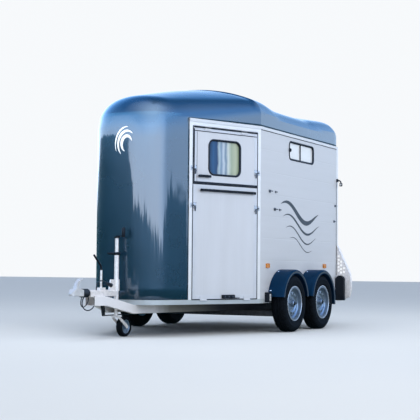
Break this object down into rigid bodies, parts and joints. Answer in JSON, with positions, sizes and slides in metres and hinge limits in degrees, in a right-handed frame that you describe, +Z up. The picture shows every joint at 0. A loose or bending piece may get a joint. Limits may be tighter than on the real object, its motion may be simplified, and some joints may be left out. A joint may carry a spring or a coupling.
{
  "type": "twin-axle horse trailer",
  "caption": "Towed horse trailer with twin axles, moulded nose and roof hood, side exit with flap and ramp, rear ramp and flap, overrun drawbar and jockey wheel.",
  "frame": {"origin": "on the ground under the middle of the whole length and width", "axes": "+X forward to the coupling, +Y left, +Z up"},
  "size_m": [4.619, 2.256, 2.786],
  "materials": {
    "hood_polyester": "gloss",
    "wall_panel": "satin",
    "frame_profile": "satin",
    "galvanised": "matte",
    "gasket_rubber": "matte",
    "pane_glass": "gloss",
    "tyre_rubber": "matte",
    "wheel_steel": "satin",
    "black_plastic": "matte",
    "guard_plastic": "satin",
    "marker_lens": "gloss",
    "floor_board": "matte",
    "partition_panel": "matte"
  },
  "bodies": {
    "trailer": {"axle_front": "galvanised", "axle_rear": "galvanised", "base_frame": "frame_profile", "bellows": "gasket_rubber", "body_window_gaskets": "gasket_rubber", "body_window_panes": "pane_glass", "brake_linkage": "galvanised", "coupling_head": "galvanised", "coupling_lever": "galvanised", "cross_members": "galvanised", "drawbar_beams": "galvanised", "drawbar_grips": "black_plastic", "floor": "floor_board", "front_position_lamps": "black_plastic", "front_wall_right": "wall_panel", "handbrake_lever": "galvanised", "jockey_clamp": "galvanised", "jockey_crank": "black_plastic", "jockey_tube": "galvanised", "mudguards_left": "guard_plastic", "mudguards_right": "guard_plastic", "nose_panel": "hood_polyester", "outline_lamps": "gasket_rubber", "overrun_housing": "galvanised", "partition": "partition_panel", "rear_corner_plates": "galvanised", "rear_frame": "frame_profile", "rear_lamps": "black_plastic", "rear_wall_left": "wall_panel", "rear_wall_right": "wall_panel", "roof_hood": "hood_polyester", "side_door_frame": "frame_profile", "side_markers": "marker_lens", "stall_bars": "galvanised", "top_rail_left": "frame_profile", "top_rail_right": "frame_profile", "wall_fittings": "galvanised"},
    "wheel_front_left": {"tyre_front_left": "tyre_rubber", "rim_front_left": "wheel_steel"},
    "wheel_front_right": {"tyre_front_right": "tyre_rubber", "rim_front_right": "wheel_steel"},
    "wheel_rear_left": {"tyre_rear_left": "tyre_rubber", "rim_rear_left": "wheel_steel"},
    "wheel_rear_right": {"tyre_rear_right": "tyre_rubber", "rim_rear_right": "wheel_steel"},
    "side_flap": {"side_flap": "wall_panel", "side_flap_gasket": "gasket_rubber", "side_flap_pane": "pane_glass", "side_flap_fittings": "galvanised"},
    "side_ramp": {"side_ramp": "wall_panel", "side_ramp_fittings": "black_plastic"},
    "rear_ramp": {"rear_ramp": "wall_panel", "rear_ramp_latches": "galvanised"},
    "rear_flap": {"rear_flap": "wall_panel", "rear_flap_gasket": "gasket_rubber", "rear_flap_pane": "pane_glass"},
    "jockey_swivel": {"jockey_fork": "galvanised"},
    "jockey_wheel": {"jockey_wheel": "tyre_rubber"}
  },
  "joints": [
    {"name": "wheel_front_left_spin", "type": "hinge", "parent": "trailer", "child": "wheel_front_left", "pos_m": [-0.5515, 1.026, 0.325], "axis": [0, 1, 0], "continuous": true},
    {"name": "wheel_front_right_spin", "type": "hinge", "parent": "trailer", "child": "wheel_front_right", "pos_m": [-0.5515, -1.026, 0.325], "axis": [0, 1, 0], "continuous": true},
    {"name": "wheel_rear_left_spin", "type": "hinge", "parent": "trailer", "child": "wheel_rear_left", "pos_m": [-1.3755, 1.026, 0.325], "axis": [0, 1, 0], "continuous": true},
    {"name": "wheel_rear_right_spin", "type": "hinge", "parent": "trailer", "child": "wheel_rear_right", "pos_m": [-1.3755, -1.026, 0.325], "axis": [0, 1, 0], "continuous": true},
    {"name": "side_flap_hinge", "type": "hinge", "parent": "trailer", "child": "side_flap", "pos_m": [0.48768, 0.74718, 2.238], "axis": [0.9266, -0.3761, 0], "range_deg": [0, 100]},
    {"name": "side_ramp_hinge", "type": "hinge", "parent": "trailer", "child": "side_ramp", "pos_m": [0.48768, 0.74718, 0.378], "axis": [-0.9266, 0.3761, 0], "range_deg": [0, 106]},
    {"name": "rear_ramp_hinge", "type": "hinge", "parent": "trailer", "child": "rear_ramp", "pos_m": [-2.3025, 0, 0.378], "axis": [0, -1, 0], "range_deg": [0, 110]},
    {"name": "rear_flap_hinge", "type": "hinge", "parent": "trailer", "child": "rear_flap", "pos_m": [-2.3025, 0, 2.258], "axis": [0, 1, 0], "range_deg": [0, 100]},
    {"name": "jockey_swivel_turn", "type": "hinge", "parent": "trailer", "child": "jockey_swivel", "pos_m": [1.4955, 0, 0.3], "axis": [0, 0, 1], "continuous": true},
    {"name": "jockey_wheel_spin", "type": "hinge", "parent": "jockey_swivel", "child": "jockey_wheel", "pos_m": [1.3455, 0, 0.105], "axis": [0, 1, 0], "continuous": true}
  ]
}
